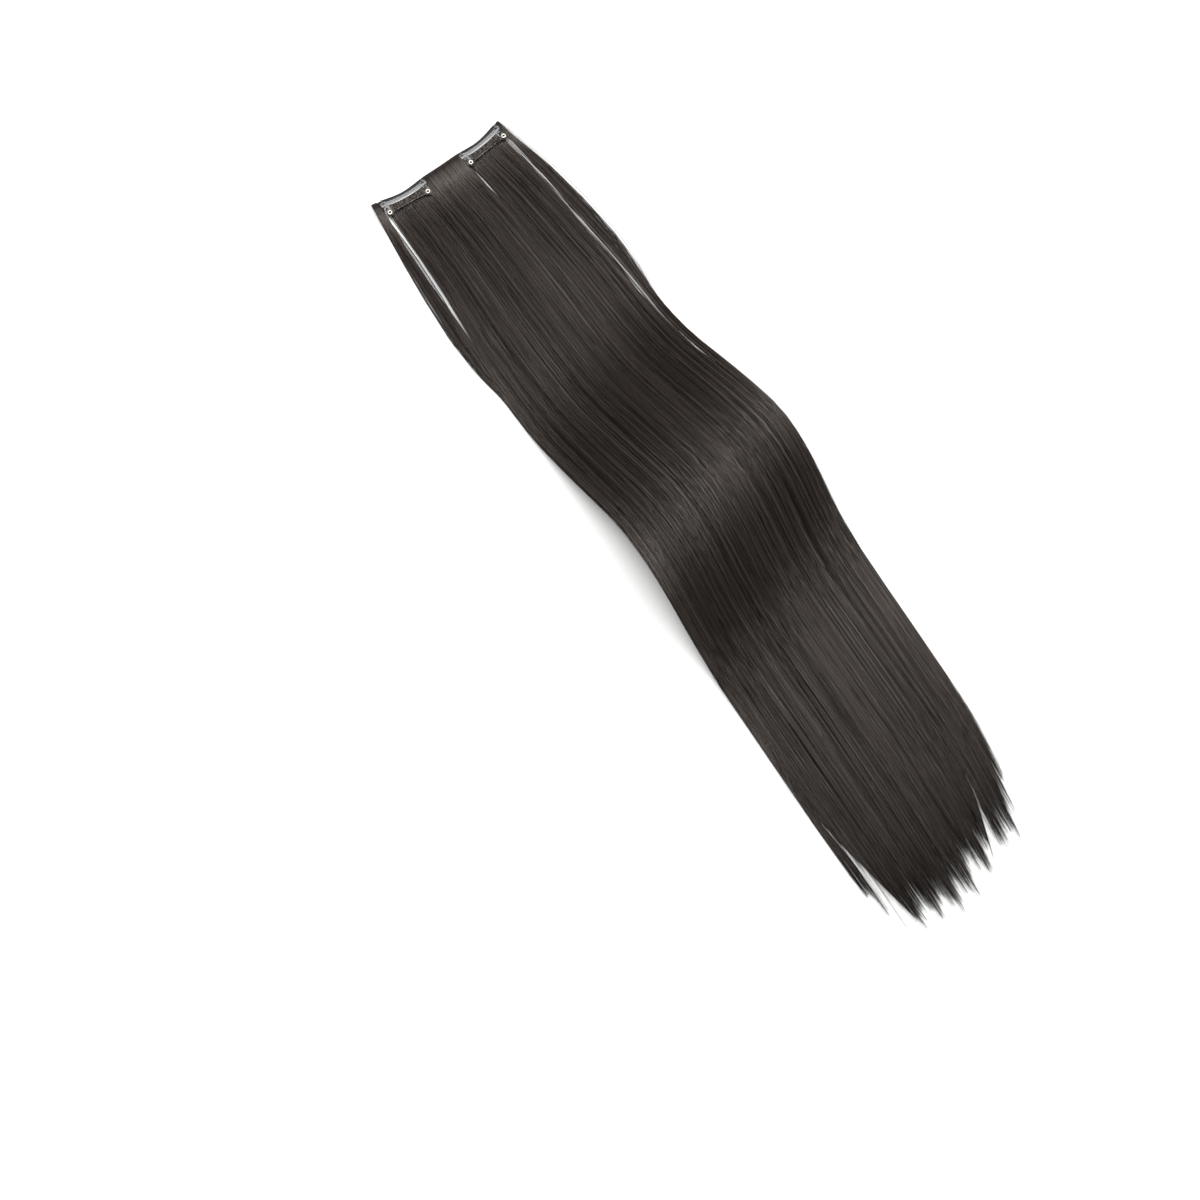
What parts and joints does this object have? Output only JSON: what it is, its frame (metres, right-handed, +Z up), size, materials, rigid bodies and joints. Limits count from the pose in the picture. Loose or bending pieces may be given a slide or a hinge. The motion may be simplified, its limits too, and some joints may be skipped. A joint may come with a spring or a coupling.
{
  "type": "clip in hair extension",
  "caption": "Long straight dark hair weft laid flat with a soft slanted wave, held in a sewn track with black snap clips whose loop-toothed combs lift.",
  "frame": {"origin": "on the surface that the extension lies on, under the middle of its bounding box", "axes": "+X across the weft, from the left clip to the right clip, +Y from the hair's ends towards the track, +Z up from the surface"},
  "size_m": [0.1248, 0.555, 0.029],
  "materials": {
    "hair": "long straight dark brown hair with a soft sheen along the strands",
    "track": "machine-sewn hair and dark thread",
    "enamel": "black stoved enamel, fairly glossy",
    "spring_steel": "black coated spring steel",
    "nickel": "bright pale metal with a faint warm tint"
  },
  "bodies": {
    "weft": {"hair_curtain": "hair", "weft_track": "track", "left_clip_plate": "enamel", "left_clip_left_ear": "spring_steel", "left_clip_right_ear": "spring_steel", "left_clip_left_rivet": "nickel", "left_clip_right_rivet": "nickel", "right_clip_plate": "enamel", "right_clip_left_ear": "spring_steel", "right_clip_right_ear": "spring_steel", "right_clip_left_rivet": "nickel", "right_clip_right_rivet": "nickel"},
    "left_comb": {"left_clip_comb": "spring_steel"},
    "right_comb": {"right_clip_comb": "spring_steel"}
  },
  "joints": [
    {"name": "left_comb_snap", "type": "hinge", "parent": "weft", "child": "left_comb", "pos_m": [-0.03537, 0.26235, 0.00425], "axis": [0.9981, -0.0609, 0], "range_deg": [0, 30]},
    {"name": "right_comb_snap", "type": "hinge", "parent": "weft", "child": "right_comb", "pos_m": [0.02479, 0.26417, 0.00425], "axis": [0.9927, 0.1209, 0], "range_deg": [0, 30]}
  ]
}
